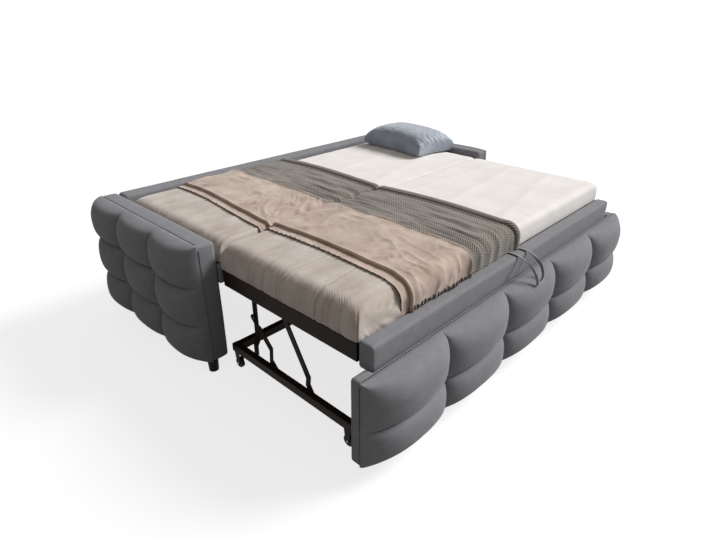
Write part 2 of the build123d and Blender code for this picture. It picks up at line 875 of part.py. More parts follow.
# Raised platform: deep side tubes, cross tubes and slats
side_tube_z = slat_top - platform_tube_height / 2
for side, name in ((-1, "left"), (1, "right")):
    x = side * (base_half_length - platform_tube_width / 2)
    with BuildPart() as platform_side:
        add_tube(
            Plane((x, platform_back, side_tube_z), x_dir=(1, 0, 0), z_dir=(0, -1, 0)),
            platform_tube_width,
            platform_tube_height,
            platform_tube_wall,
            platform_back - platform_front,
        )
    save(platform_side, f"platform_side_tube_{name}")

cross_tubes = (
    ("platform_front_tube", platform_front + cross_tube_width / 2, slat_seat, cross_tube_height),
    ("platform_centre_tube", trundle_mattress_y, slat_bottom - seat_gap, centre_tube_height),
    ("platform_rear_tube", platform_back - cross_tube_width / 2, slat_seat, cross_tube_height),
)
rail_bolt_xs = [share * base_half_length for share in rail_bolt_shares]
rail_bolt_z = slat_seat - cross_tube_height / 2
for node, y, top, height in cross_tubes:
    with BuildPart() as cross_tube:
        add_tube(
            along_x(-platform_inner, y, top - height / 2),
            cross_tube_width,
            height,
            platform_tube_wall,
            2 * platform_inner,
        )
        if node == "platform_front_tube":
            with BuildSketch(Plane.XZ.offset(-y - cross_tube_width)):
                with Locations(*[(x, rail_bolt_z) for x in rail_bolt_xs]):
                    Circle(bolt_radius + pin_clearance)
            extrude(amount=2 * cross_tube_width, mode=Mode.SUBTRACT)
    save(cross_tube, node)

save(
    slat_row(platform_front + slat_end_gap, platform_back - slat_end_gap, platform_inner),
    "platform_slats",
)

# Upholstered top rail along the platform's front
with BuildPart() as top_rail:
    with BuildSketch(Plane.YZ.offset(top_rail_end_gap - base_half_length)):
        with Locations((top_rail_front + top_rail_thick / 2, (top_rail_bottom + top_rail_top) / 2)):
            RectangleRounded(top_rail_thick, top_rail_top - top_rail_bottom, top_rail_round)
    extrude(amount=2 * (base_half_length - top_rail_end_gap))
    with BuildSketch(Plane.XZ.offset(-platform_front)):
        with Locations(*[(x, rail_bolt_z) for x in rail_bolt_xs]):
            Circle(bolt_radius + pin_clearance)
    extrude(amount=bolt_length, mode=Mode.SUBTRACT)
save(top_rail, "top_rail")

with BuildPart() as rail_bolts:
    for x in rail_bolt_xs:
        head = x, platform_front + cross_tube_width, rail_bolt_z
        add_bolt(head, (0, -1, 0), cross_tube_width + bolt_length - overrun)
save(rail_bolts, "rail_bolts")

# Pull strap: a band from behind the top rail, over it and down in a loop
strap_top = top_rail_top + seat_gap
strap_back = platform_front + seat_gap
strap_front = top_rail_front - seat_gap
strap_half = strap_thick / 2
strap_path = (
    (strap_back + strap_half, strap_top - strap_tuck),
    (strap_back + strap_half, strap_top + strap_half),
    (strap_front - strap_half, strap_top + strap_half),
    (board_front - strap_bulge, front_board_top + strap_spread / 2),
    (board_front - puff_depth - seat_gap - strap_half, top_rail_top - strap_hang),
)
with BuildPart() as pull_strap:
    for hand in (-1, 1):
        with BuildSketch(Plane.YZ.offset(strap_x + hand * strap_spread / 2 - strap_width / 2)):
            with BuildLine():
                Polyline(*strap_path)
            trace(line_width=strap_thick)
        extrude(amount=strap_width)
    end_y, end_z = strap_path[-1]
    add_box(
        (strap_x - (strap_spread + strap_width) / 2, end_y - strap_half, end_z - strap_width),
        (strap_x + (strap_spread + strap_width) / 2, end_y + strap_half, end_z),
    )
save(pull_strap, "pull_strap")

# Places that the record states, in metres
print("bed front", bed_front, "bed back", bed_back, "base", base_front, base_back)
print("arm pivot", arm_y, pivot_height, "leg pivot", leg_y, "stay pivot", stay_y, base_pivot_height)
print("arm fold", lowered_lean - bar_lean, "leg fold", leg_fold, "stay", stay_lean, stay_fold)
print("casters", [(place, x, y) for place, x, y in caster_places], "feet", foot_x, foot_ys)
print("mattress middles", main_mattress_y, trundle_mattress_y, "platform", platform_front, platform_back)
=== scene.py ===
"""Looks of the upholstered trundle bed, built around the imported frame. Metres, in the row frame."""
import json
from math import ceil, pi, radians

import bmesh
import bpy
import numpy as np
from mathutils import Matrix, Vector


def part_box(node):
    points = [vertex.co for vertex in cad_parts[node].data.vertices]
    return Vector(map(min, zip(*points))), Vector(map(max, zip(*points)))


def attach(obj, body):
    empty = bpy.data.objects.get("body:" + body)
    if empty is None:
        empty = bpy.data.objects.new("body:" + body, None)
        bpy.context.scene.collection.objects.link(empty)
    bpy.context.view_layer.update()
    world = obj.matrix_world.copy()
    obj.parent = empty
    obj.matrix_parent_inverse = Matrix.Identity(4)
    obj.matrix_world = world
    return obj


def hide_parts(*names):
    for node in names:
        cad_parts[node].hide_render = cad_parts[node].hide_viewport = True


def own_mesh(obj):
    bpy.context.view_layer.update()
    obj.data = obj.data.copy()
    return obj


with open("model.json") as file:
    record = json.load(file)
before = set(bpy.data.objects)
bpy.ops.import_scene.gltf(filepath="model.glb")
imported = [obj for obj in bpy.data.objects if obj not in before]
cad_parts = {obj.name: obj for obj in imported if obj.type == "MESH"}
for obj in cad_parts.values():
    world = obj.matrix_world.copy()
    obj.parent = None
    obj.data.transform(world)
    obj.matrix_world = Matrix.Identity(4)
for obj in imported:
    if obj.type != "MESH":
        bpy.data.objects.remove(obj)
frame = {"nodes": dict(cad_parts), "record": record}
scene = bpy.context.scene
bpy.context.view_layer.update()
nodes = frame["nodes"]


# Camera at the photograph's place and angle
heading, pitch = radians(43.76), radians(26.77)
camera = bpy.data.objects.new("camera", bpy.data.cameras.new("camera"))
camera.data.sensor_width = 36
camera.data.lens = 26.41
camera.data.clip_end = 60
camera.location = (-2.0424, -1.7768, 1.5042)
camera.rotation_euler = (pi / 2 - pitch, 0, heading - pi / 2)
scene.collection.objects.link(camera)
scene.camera = camera
scene.view_settings.view_transform = "Standard"


# Smooth noise from a fixed table, the same each run
TABLE_SIZE = 256
TABLE = np.random.default_rng(7).random((TABLE_SIZE, TABLE_SIZE))
OCTAVE_SHIFT = 17, 31  # keeps the layers' cells from lining up


def noise(x, y):
    """Smooth values from 0 to 1, one new value to each unit of x and y."""
    xi, yi = np.floor(x).astype(int), np.floor(y).astype(int)
    fx, fy = x - xi, y - yi
    fx, fy = fx * fx * (3 - 2 * fx), fy * fy * (3 - 2 * fy)
    left, right = xi % TABLE_SIZE, (xi + 1) % TABLE_SIZE
    near, far = yi % TABLE_SIZE, (yi + 1) % TABLE_SIZE
    a, b = TABLE[left, near], TABLE[right, near]
    c, d = TABLE[left, far], TABLE[right, far]
    return (a + (b - a) * fx) * (1 - fy) + (c + (d - c) * fx) * fy


def layered(x, y, octaves=3):
    """Noise with finer noise on top, from 0 to 1."""
    shift_x, shift_y = OCTAVE_SHIFT
    total, size, height = 0, 0, 1
    for octave in range(octaves):
        total = total + height * noise(x * 2**octave + shift_x * octave, y * 2**octave + shift_y * octave)
        size += height
        height /= 2
    return total / size


def ridges(x, y, octaves=2):
    """Creases with a sharp crest, from 0 to 1."""
    return 1 - np.abs(2 * layered(x, y, octaves) - 1)


def step(low, high, x):
    """A smooth rise from 0 at low to 1 at high."""
    t = np.clip((x - low) / (high - low), 0, 1)
    return t * t * (3 - 2 * t)


def linear(r, g, b):
    """A colour as a screen shows it, turned into light."""
    return tuple(((c / 255 + 0.055) / 1.055) ** 2.4 if c > 10 else c / 255 / 12.92 for c in (r, g, b))


# Node materials
def put(node, **inputs):
    """Set a shader node's inputs, with _ for each space in their names."""
    for name, value in inputs.items():
        node.inputs[name.replace("_", " ")].default_value = value


class Look:
    """A node material: a fabric, metal or timber finish with its own colour variation and bump."""

    def __init__(self, name, roughness, metallic=0.0):
        self.material = bpy.data.materials.new(name)
        self.material.use_nodes = True
        self.nodes = self.material.node_tree.nodes
        self.links = self.material.node_tree.links
        self.shader = self.nodes["Principled BSDF"]
        put(self.shader, Roughness=roughness, Metallic=metallic, Specular_IOR_Level=0.12)
        self.place = self.nodes.new("ShaderNodeTexCoord").outputs["Object"]
        self.height = None

    def math(self, operation, *values):
        node = self.nodes.new("ShaderNodeMath")
        node.operation = operation
        for socket, value in zip(node.inputs, values):
            if isinstance(value, (int, float)):
                socket.default_value = value
            else:
                self.links.new(value, socket)
        return node.outputs[0]

    def noise(self, scale, detail, stretch=(1, 1, 1)):
        place = self.nodes.new("ShaderNodeMapping")
        put(place, Scale=stretch)
        self.links.new(self.place, place.inputs["Vector"])
        node = self.nodes.new("ShaderNodeTexNoise")
        put(node, Scale=scale, Detail=detail, Roughness=0.55)
        self.links.new(place.outputs["Vector"], node.inputs["Vector"])
        return node.outputs["Fac"]

    def attribute(self, name):
        node = self.nodes.new("ShaderNodeAttribute")
        node.attribute_name = name
        return node.outputs["Fac"]

    def ramp(self, value, colours, low=0.3, high=0.7):
        node = self.nodes.new("ShaderNodeValToRGB")
        elements = node.color_ramp.elements
        while len(elements) < len(colours):
            elements.new(0.5)
        for i, colour in enumerate(colours):
            elements[i].position = low + (high - low) * i / (len(colours) - 1)
            elements[i].color = (*linear(*colour), 1)
        self.links.new(value, node.inputs[0])
        return node.outputs[0]

    def mix(self, share, a, b, blend="MIX"):
        node = self.nodes.new("ShaderNodeMix")
        node.data_type = "RGBA"
        node.blend_type = blend
        node.inputs[0].default_value = share
        self.links.new(a, node.inputs[6])
        self.links.new(b, node.inputs[7])
        return node.outputs[2]

    def colour(self, value):
        self.links.new(value, self.shader.inputs["Base Color"])

    def bump(self, height, distance, strength):
        node = self.nodes.new("ShaderNodeBump")
        put(node, Strength=strength, Distance=distance)
        self.links.new(height, node.inputs["Height"])
        if self.height is not None:
            self.links.new(self.height, node.inputs["Normal"])
        self.height = node.outputs[0]
        self.links.new(self.height, self.shader.inputs["Normal"])

    def sheen(self, weight, roughness, tint=(1, 1, 1)):
        put(self.shader, Sheen_Weight=weight, Sheen_Roughness=roughness, Sheen_Tint=(*tint, 1))


def upholstery_look():
    look = Look("upholstery", 0.88)
    mottle = look.noise(26, 4)
    fibre = look.noise(900, 2)
    base = look.ramp(mottle, [(118, 118, 122), (130, 130, 134)])
    weave = look.ramp(fibre, [(102, 102, 106), (146, 146, 150)])
    look.colour(look.mix(0.4, base, weave))
    look.bump(fibre, 0.0005, 0.5)
    look.bump(look.noise(170, 3), 0.0008, 0.35)
    look.sheen(0.15, 0.35, (0.9, 0.92, 1))
    return look.material


def cloth_look(name, dark, light, fibre_scale, roughness=0.9, sheen=0.2, crumple=0.0):
    look = Look(name, roughness)
    soft = look.noise(9, 4)
    fibre = look.noise(fibre_scale, 2)
    base = look.ramp(soft, [dark, light])
    look.colour(look.mix(0.25, base, look.ramp(fibre, [dark, light])))
    look.bump(fibre, 0.0004, 0.4)
    if crumple:
        look.bump(look.noise(55, 4, (1, 0.5, 1)), crumple, 0.6)
    look.sheen(sheen, 0.5)
    return look.material


def shaded_fold_look(name, dark, light, fibre_scale, roughness, crumple):
    """Cloth with painted shade, darker and warmer, in the depth of its folds."""
    look = Look(name, roughness)
    fibre = look.noise(fibre_scale, 2)
    base = look.ramp(look.noise(9, 4), [dark, light])
    base = look.mix(0.25, base, look.ramp(fibre, [dark, light]))
    # Painted shade: the fold_depth attribute darkens and warms the colour in the folds' valleys
    depth = look.ramp(look.attribute("fold_depth"), [(255, 255, 255), (198, 178, 165)], 0.0, 1.0)
    look.colour(look.mix(1.0, base, depth, "MULTIPLY"))
    look.bump(fibre, 0.0004, 0.4)
    look.bump(look.noise(55, 4, (1, 0.5, 1)), crumple, 0.6)
    look.sheen(0.3, 0.5)
    return look.material


def weave_look():
    """Herringbone: diagonal threads that turn round from one narrow column to the next."""
    column_width, thread_pitch = 0.020, 0.011
    look = Look("grey_weave", 0.95)
    across, along = look.attribute("cloth_across"), look.attribute("cloth_along")
    column = look.math("PINGPONG", across, column_width)
    turns = look.math("MULTIPLY", look.math("ADD", along, column), 2 * pi / thread_pitch)
    threads = look.math("SINE", turns)
    threads = look.math("MULTIPLY_ADD", threads, 0.5, 0.5)
    pattern = look.ramp(threads, [(40, 36, 32), (172, 165, 155)], 0.25, 0.75)
    mottle = look.ramp(look.noise(14, 4), [(96, 90, 83), (126, 121, 114)])
    # Painted shade: the fold_depth attribute darkens the colour in the folds' valleys
    depth = look.ramp(look.attribute("fold_depth"), [(255, 255, 255), (158, 146, 138)], 0.0, 1.0)
    look.colour(look.mix(1.0, look.mix(0.62, mottle, pattern), depth, "MULTIPLY"))
    look.bump(threads, 0.0012, 0.6)
    look.bump(look.noise(500, 2), 0.0006, 0.4)
    look.sheen(0.25, 0.5)
    return look.material


def steel_look(name, dark, light, roughness, metallic):
    look = Look(name, roughness, metallic)
    put(look.shader, Specular_IOR_Level=0.5 if metallic else 0.08)
    speckle = look.noise(420, 2)
    coat = look.ramp(look.noise(11, 4), [dark, light])
    look.colour(look.mix(0.4, coat, look.ramp(speckle, [dark, light])))
    look.bump(speckle, 0.0002, 0.35)
    return look.material


def timber_look(name, dark, light):
    look = Look(name, 0.5)
    grain = look.noise(14, 5, (9, 1, 9))
    pores = look.noise(160, 3, (3, 0.12, 3))
    rings = look.ramp(grain, [dark, light], 0.25, 0.75)
    look.colour(look.mix(0.35, rings, look.ramp(pores, [dark, light])))
    look.bump(pores, 0.0004, 0.4)
    return look.material


looks = {
    "upholstery": upholstery_look(),
    "mattress_cover": cloth_look("mattress_cover", (219, 215, 212), (231, 227, 224), 700, 0.9, 0.1),
    "duvet_cover": shaded_fold_look("duvet_cover", (170, 158, 148), (196, 188, 180), 800, 0.8, 0.002),
    "beige_fleece": shaded_fold_look("beige_fleece", (158, 138, 125), (196, 179, 167), 380, 0.95, 0.002),
    "grey_weave": weave_look(),
    "pillow_cover": cloth_look("pillow_cover", (118, 128, 142), (160, 170, 183), 600, 0.45, 0.5, 0.003),
    "strap_webbing": cloth_look("strap_webbing", (112, 113, 119), (146, 147, 152), 900, 0.7, 0.3),
    "dark_steel": steel_look("dark_steel", (27, 18, 15), (41, 30, 25), 0.5, 0.0),
    "zinc_steel": steel_look("zinc_steel", (150, 150, 148), (182, 182, 180), 0.35, 1.0),
    "birch": timber_look("birch", (176, 140, 98), (206, 174, 130)),
    "timber": timber_look("timber", (150, 112, 74), (182, 144, 100)),
    "black_plastic": steel_look("black_plastic", (22, 22, 23), (32, 32, 33), 0.5, 0.0),
    "wheel_plastic": steel_look("wheel_plastic", (28, 28, 29), (40, 40, 42), 0.45, 0.0),
}
seam_look = cloth_look("seam_thread", (64, 65, 69), (80, 81, 86), 900)
pale_thread = cloth_look("pale_thread", (212, 196, 183), (232, 219, 208), 900)
# Dark thread for the fringe and for the fleece's edge dashes, which are partly painted shadow of its
# scalloped edge
dark_thread = cloth_look("dark_thread", (52, 44, 40), (74, 62, 55), 900)

# Every CAD node gets its slot's finish
for row in frame["record"]["subparts"]:
    mesh = nodes[row["node"]].data
    mesh.materials.clear()
    mesh.materials.append(looks[row["material_slot"]])


# Mesh makers
def make(name, points, faces, body, slot, replaces=(), look=None, attributes=()):
    """Make a piece that rides a body, in its slot's finish, with the CAD parts that it replaces hidden."""
    mesh = bpy.data.meshes.new(name)
    mesh.from_pydata(np.asarray(points, float).reshape(-1, 3).tolist(), [], faces)
    mesh.validate()
    for key, values in attributes:
        values = np.asarray(values, np.float32).ravel()
        mesh.attributes.new(key, "FLOAT", "POINT").data.foreach_set("value", values)
    mesh.shade_smooth()
    mesh.materials.append(look or looks[slot])
    piece = bpy.data.objects.new(name, mesh)
    scene.collection.objects.link(piece)
    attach(piece, body)
    if replaces:
        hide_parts(*replaces)
    return piece


def grid_faces(rows, columns, first=0, wrap=False, flip=False):
    """Four-sided faces over rows of points, which may close into rings."""
    faces = []
    for i in range(rows - 1):
        row, above = first + i * columns, first + (i + 1) * columns
        for j in range(columns if wrap else columns - 1):
            k = (j + 1) % columns
            face = row + j, row + k, above + k, above + j
            faces.append(face[::-1] if flip else face)
    return faces


def grid_rim(rows, columns):
    """The points round a grid's edge, in order."""
    rim = list(range(columns)) + [i * columns + columns - 1 for i in range(1, rows)]
    rim += [(rows - 1) * columns + j for j in range(columns - 2, -1, -1)]
    return rim + [i * columns for i in range(rows - 2, 0, -1)]


def unit(vectors):
    """Vectors along the last axis, each brought to length 1."""
    shortest = 1e-9
    return vectors / np.maximum(np.linalg.norm(vectors, axis=-1, keepdims=True), shortest)


def lines(low, high, edge, pitch):
    """Grid lines between two limits, close together near both ends."""
    inner = max(2, ceil((high - low - 2 * edge) / pitch))
    ease = edge * (1 - np.cos(np.linspace(0, pi / 2, 6)))
    even = np.linspace(low + edge, high - edge, inner + 1)
    return np.unique(np.concatenate([low + ease, even, high - ease]).round(6))


def rounded_box(name, low, high, radius, body, replaces=(), swell=0.0, ripple=0.001):
    """A padded panel: a box with round edges, faces that swell a little and a softly uneven surface."""
    fill, pitch = 0.9, 0.03
    low, high = np.array(low, float), np.array(high, float)
    spans = [lines(low[a], high[a], radius, pitch) for a in range(3)]
    index, points, faces = {}, [], []
    for a in range(3):
        b, c = (a + 1) % 3, (a + 2) % 3
        for side, value in ((0, low[a]), (1, high[a])):
            names = np.empty((len(spans[b]), len(spans[c])), int)
            for i, p in enumerate(spans[b]):
                for j, q in enumerate(spans[c]):
                    point = [0.0, 0.0, 0.0]
                    point[a], point[b], point[c] = value, p, q
                    key = tuple(round(x, 6) for x in point)
                    if key not in index:
                        index[key] = len(points)
                        points.append(point)
                    names[i, j] = index[key]
            for i in range(len(spans[b]) - 1):
                for j in range(len(spans[c]) - 1):
                    face = (names[i, j], names[i + 1, j], names[i + 1, j + 1], names[i, j + 1])
                    faces.append([int(x) for x in (face if side else face[::-1])])
    points = np.array(points)
    core = np.clip(points, low + radius, high - radius)
    out = points - core
    middle, half = (low + high) / 2, (high - low) / 2
    share = np.clip((points - middle) / half, -1, 1)
    bulge = np.ones(len(points))
    for a in range(3):
        other = 1 - share[:, a] ** 2
        bulge *= np.where(np.abs(out[:, a]) > radius * 0.5, 1, other)
    uneven = layered(points[:, 0] * 9 + points[:, 2] * 4, points[:, 1] * 9 + points[:, 2] * 8) - 0.5
    made = core + unit(out) * (radius + swell * bulge + ripple * uneven)[:, None]
    return make(name, made, faces, body, "upholstery", replaces)


def tubes(name, runs, radius, body, slot, look):
    """Thin round threads, each along its own line of points."""
    sides, no_thread_runs_this_way = 5, (0.31, 0.52, 0.79)
    points, faces = [], []
    for run in runs:
        run = np.asarray(run, float)
        along = unit(np.gradient(run, axis=0))
        side = unit(np.cross(along, no_thread_runs_this_way))
        up = np.cross(side, along)
        first = len(points)
        for p, s, u in zip(run, side, up):
            for k in range(sides):
                turn = 2 * pi * k / sides
                points.append(p + radius * (np.cos(turn) * s + np.sin(turn) * u))
        faces += grid_faces(len(run), sides, first, wrap=True, flip=True)
        faces.append(list(range(first, first + sides)))
        faces.append(list(range(len(points) - 1, len(points) - sides - 1, -1)))
    return make(name, points, faces, body, slot, look=look)


# Tufted cushions: one stuffed skin per wall, pinched in along its seams
SEAM_POWER = 0.46  # how steeply a puff falls towards a seam, where a power nearer 0 is steeper
PUFF_ROUNDNESS = 2.3


def pinched(share, low_first, low_last, power_first, power_last):
    """Depth across one puff, from one seam to the next."""
    low = np.where(share < 0, low_first, low_last)
    power = np.where(share < 0, power_first, power_last)
    return low + (1 - low) * np.maximum(1 - np.abs(share) ** PUFF_ROUNDNESS, 0) ** power


def puff_lines(sizes, low, first_power=SEAM_POWER, last_power=SEAM_POWER):
    """Grid lines across a wall's puffs, and the depth share at each, which is low at the seams."""
    share = -np.cos(np.linspace(0, pi, 33))
    places, depths, start = [], [], 0.0
    for k, size in enumerate(sizes):
        first, last = k == 0, k == len(sizes) - 1
        powers = first_power if first else SEAM_POWER, last_power if last else SEAM_POWER
        depth = pinched(share, 0 if first else low, 0 if last else low, *powers)
        part = slice(None if last else 0, None if last else -1)
        places.extend((start + (share + 1) / 2 * size)[part])
        depths.extend(depth[part])
        start += size
    return np.array(places), np.array(depths)


def with_bends(places, length, bend):
    """Grid lines with more of them near both ends, where the wall's edge bends round."""
    ends = np.linspace(0, bend, 7), np.linspace(length - bend, length, 7)
    return np.unique(np.concatenate([places, *ends]).round(6))


def puff_wall(
    name, node, body, corner, along, down, out, columns, rows, seam_low, row_low, powers, bend
):
    """A wall of puffs. along, down and out are the ways that its columns, its rows and its puffs go."""
    depth, lift, full_at, pucker_height, uneven_height = 0.088, 0.0008, 0.02, 0.004, 0.003
    column_lines, reach = puff_lines(columns, seam_low, *powers)
    row_lines, drop = puff_lines(rows, row_low)
    length, fall = sum(columns), sum(rows)
    across, down_at = with_bends(column_lines, length, bend), with_bends(row_lines, fall, bend)
    reach = np.interp(across, column_lines, reach)
    drop = np.interp(down_at, row_lines, drop)
    u, v = np.meshgrid(across, down_at, indexing="ij")
    full = np.outer(reach, drop)
    rise = np.minimum(depth * full / full_at, 1)
    pucker = (ridges(u * 30, v * 30, 2) - 0.6) * pucker_height * (1 - full) ** 2
    uneven = uneven_height * (layered(u * 9, v * 9) - 0.5)
    height = np.maximum(depth * full + rise * (pucker + uneven), 0)
    rim_gap = np.minimum(np.minimum(u, length - u), np.minimum(v, fall - v))
    under = np.clip(bend - rim_gap, 0, bend)
    height = height - (bend - np.sqrt(bend**2 - under**2)) + lift
    corner, along, down, out = (np.array(w, float) for w in (corner, along, down, out))
    points = corner + u[..., None] * along + v[..., None] * down + height[..., None] * out
    m, n = u.shape
    flip = float(np.dot(np.cross(along, down), out)) > 0
    faces = grid_faces(m, n, flip=not flip)
    rim = grid_rim(m, n)
    faces.append(rim if not flip else rim[::-1])
    return make(name, points, faces, body, "upholstery", (node,))


bed_front, bed_back, panel_low, panel_top = 0.0365, 0.9595, 0.056, 0.630
outer = 1.110  # from the bed's middle to the end cushions' backs
end_bend, front_bend = 0.02, 0.014
end_columns = end_rows = 3
for side, name in ((-1, "left"), (1, "right")):
    puff_wall(
        f"end_puffs_{name}",
        f"end_cushions_{name}",
        "daybed",
        corner=(side * outer, bed_front, panel_top),
        along=(0, 1, 0),
        down=(0, 0, -1),
        out=(side, 0, 0),
        columns=[(bed_back - bed_front) / end_columns] * end_columns,
        rows=[(panel_top - panel_low) / end_rows] * end_rows,
        seam_low=0.36,
        row_low=0.42,
        powers=(0.8, 0.42),
        bend=end_bend,
    )
board_low, board_high, board_face, board_half = 0.056, 0.422, -0.8715, 1.076
front_columns, front_row_shares = 5, (0.55, 0.45)
puff_wall(
    "front_puffs",
    "front_cushions",
    "trundle_base",
    corner=(-board_half, board_face, board_high),
    along=(1, 0, 0),
    down=(0, 0, -1),
    out=(0, -1, 0),
    columns=[2 * board_half / front_columns] * front_columns,
    rows=[share * (board_high - board_low) for share in front_row_shares],
    seam_low=0.3,
    row_low=0.5,
    powers=(0.7, 0.6),
    bend=front_bend,
)

# Padded panels and rails
front_rail_round, top_rail_round = 0.011, 0.015
panel_swell, panel_ripple = 0.002, 0.002
for side, name in ((-1, "left"), (1, "right")):
    node = f"end_panel_{name}"
    rounded_box(f"panel_{name}", *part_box(node), end_bend, "daybed", (node,), panel_swell, panel_ripple)
rounded_box("panel_back", *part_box("back_panel"), end_bend, "daybed", ("back_panel",), 0, panel_ripple)
rounded_box("rail_front", *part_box("front_rail"), front_rail_round, "daybed", ("front_rail",))
low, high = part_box("front_board")
recess_y, recess_half, recess_low = -0.8415, 0.998, 0.148
front_half_back = high[0], recess_y, high[2]
rounded_box("board", low, front_half_back, front_bend, "trundle_base", ("front_board",))
for name, x0, x1, top in (
    ("board_end_left", low[0], -recess_half, high[2]),
    ("board_end_right", recess_half, high[0], high[2]),
    ("board_foot", low[0], high[0], recess_low),
):
    rounded_box(name, (x0, low[1], low[2]), (x1, high[1], top), front_bend, "trundle_base")
rounded_box("rail_top", *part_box("top_rail"), top_rail_round, "platform", ("top_rail",))

# Seams sewn along the panels' edges
seam_rise, seam_start = 0.0004, 0.03
panel_thread, board_thread = 0.0016, 0.0014
corner_cut = 0.3 * end_bend
front, back = bed_front - seam_rise, bed_back + seam_rise
panel_seams = []
for side in (-1, 1):
    x = side * (outer - end_bend)
    edge = [
        (x, front, panel_low + seam_start),
        (x, front, panel_top - end_bend),
        (x, bed_front + corner_cut, panel_top - corner_cut),
        (x, bed_front + end_bend, panel_top + seam_rise),
        (x, bed_back - end_bend, panel_top + seam_rise),
        (x, bed_back - corner_cut, panel_top - corner_cut),
        (x, back, panel_top - end_bend),
        (x, back, panel_low + seam_start),
    ]
    panel_seams.append(edge)
tubes("panel_seams", panel_seams, panel_thread, "daybed", "upholstery", seam_look)
y, z = board_face + front_bend, board_high + seam_rise
board_seams = []
for side in (-1, 1):
    x = side * (board_half + seam_rise)
    board_seams.append([(x, y, board_low + front_bend), (x, y, board_high - front_bend)])
seam_half = board_half - front_bend
board_seams.append([(-seam_half, y, z), (seam_half, y, z)])
tubes("board_seam", board_seams, board_thread, "trundle_base", "upholstery", seam_look)


# Mattresses and duvets: rings round a pad, from the lower edge over the side to the top
def outline(x0, x1, y0, y1, corner, counts):
    """Points round a rectangle with round corners, always the same number of them."""
    centres = [
        (x0 + corner, y0 + corner),
        (x1 - corner, y0 + corner),
        (x1 - corner, y1 - corner),
        (x0 + corner, y1 - corner),
    ]
    per_length, per_width, per_corner = counts
    arcs, runs = [], []
    for k, (x, y) in enumerate(centres):
        angles = pi + k * pi / 2 + np.linspace(0, pi / 2, per_corner + 1)
        arcs.append(np.stack([x + corner * np.cos(angles), y + corner * np.sin(angles)], 1))
    for k, count in enumerate((per_length, per_width) * 2):
        start, end = arcs[k][-1], arcs[(k + 1) % 4][0]
        runs += [arcs[k], start + (end - start) * np.linspace(0, 1, count + 1)[1:-1, None]]
    return np.concatenate(runs)


def pad(ends, span, heights, round_x, high, corner, crown, pitch=(0.014, 0.014), rings=34):
    """Rings of points over a pad, up its sides and in to its top's middle line.

    span gives its front, its back and how far each of them rounds in. high is the rounding's height.
    Returns the rings, the way round the lowest one, and the way up from it to each point.
    """
    side_belly, corner_growth, corner_points = 0.003, 0.6, 8
    (x0, x1), (y0, y1, round_y0, round_y1), (z0, z1) = ends, span, heights
    counts = ceil((x1 - x0) / pitch[0]), ceil((y1 - y0) / pitch[1]), corner_points
    levels = []
    for z in np.linspace(z0, z1 - high, 7):
        belly = side_belly * np.sin(pi * (z - z0) / (z1 - high - z0))
        levels.append((0, belly, z, corner))
    for angle in np.linspace(0, pi / 2, 9)[1:]:
        inset = 1 - np.cos(angle)
        radius = corner + corner_growth * round_x * inset
        levels.append((inset, 0, z1 - high + high * np.sin(angle), radius))
    loops = []
    for share, grow, z, radius in levels:
        flat = outline(
            x0 + share * round_x - grow,
            x1 - share * round_x + grow,
            y0 + share * round_y0 - grow,
            y1 - share * round_y1 + grow,
            radius,
            counts,
        )
        loops.append(np.column_stack([flat, np.full(len(flat), z)]))
    rim = loops[-1]
    half = (y1 - y0) / 2
    spine = rim.copy()
    spine[:, 1] = (y0 + y1) / 2
    spine[:, 0] = np.clip(rim[:, 0], x0 + half, x1 - half)
    for k in range(1, rings + 1):
        t = k / rings
        loop = rim + (spine - rim) * t
        loop[:, 2] = z1 + crown * (1 - (1 - t) ** 2)
        loops.append(loop)
    loops = np.array(loops)
    edge = loops[0]
    gaps = np.linalg.norm(np.roll(edge, -1, 0) - edge, axis=1)
    around = np.concatenate([[0], np.cumsum(gaps)[:-1]])
    climb = np.zeros(loops.shape[:2])
    climb[1:] = np.cumsum(np.linalg.norm(np.diff(loops, axis=0), axis=2), 0)
    return loops, np.broadcast_to(around, climb.shape), climb


def ring_normals(loops):
    """Outward directions, and straight up where a ring has shrunk to a line."""
    wide = np.concatenate([loops[:, -1:], loops, loops[:, :1]], 1)
    normal = np.cross(np.gradient(wide, axis=1), np.gradient(wide, axis=0))[:, 1:-1]
    size = np.linalg.norm(normal, axis=2, keepdims=True)
    up = np.zeros_like(normal)
    up[..., 2] = 1
    return np.where(size > 1e-12, normal / np.maximum(size, 1e-12), up)


def weld(piece, distance=0.0004):
    """Join points that meet, and clear away the faces that this leaves without area."""
    mesh = bmesh.new()
    mesh.from_mesh(piece.data)
    bmesh.ops.remove_doubles(mesh, verts=mesh.verts, dist=distance)
    bmesh.ops.dissolve_degenerate(mesh, edges=mesh.edges, dist=0.0001)
    mesh.to_mesh(piece.data)
    mesh.free()


# Each bed's body, and the front, the back and their roundings of its mattress and its duvet
beds = {"main": "daybed", "trundle": "platform"}
mattress_spans = {"main": (0.0390, 0.860, 0.009, 0.030), "trundle": (-0.7690, 0.0322, 0.034, 0.009)}
duvet_spans = {"main": (0.0405, 0.8675, 0.026, 0.030), "trundle": (-0.7745, 0.0325, 0.050, 0.026)}
mattress_left, mattress_right, mattress_low, mattress_high = -0.985, 0.990, 0.4984, 0.6053
mattress_round, mattress_corner, mattress_crown = 0.034, 0.022, 0.006
rail_top, rail_back, rail_reach = 0.523, 0.0685, 0.075  # the front rail, beside the main mattress
duvet_left, duvet_right, duvet_top = -0.9992, -0.355, 0.6135
duvet_end_round, duvet_side_high, duvet_corner, duvet_crown = 0.070, 0.078, 0.009, 0.0065
duvet_lows = {"main": 0.524, "trundle": 0.5}
duvet_thick, duvet_full_depth = 0.005, 0.009
covered_right, duvet_side_gap, duvet_top_gap = -0.375, 0.011, 0.013  # the mattress under its duvet
sheet_folds = (0.17, 0.20), (0.45, 0.12), (0.66, -0.05)  # start behind the front edge, and slope
duvet_creases = {
    "main": ((0.36, -0.06), (0.60, 0.05)),
    "trundle": ((-0.394, -0.094), (-0.548, 0.069)),
}


def bell(x):
    """1 at 0, falling off smoothly on both sides."""
    return np.exp(-(x**2))


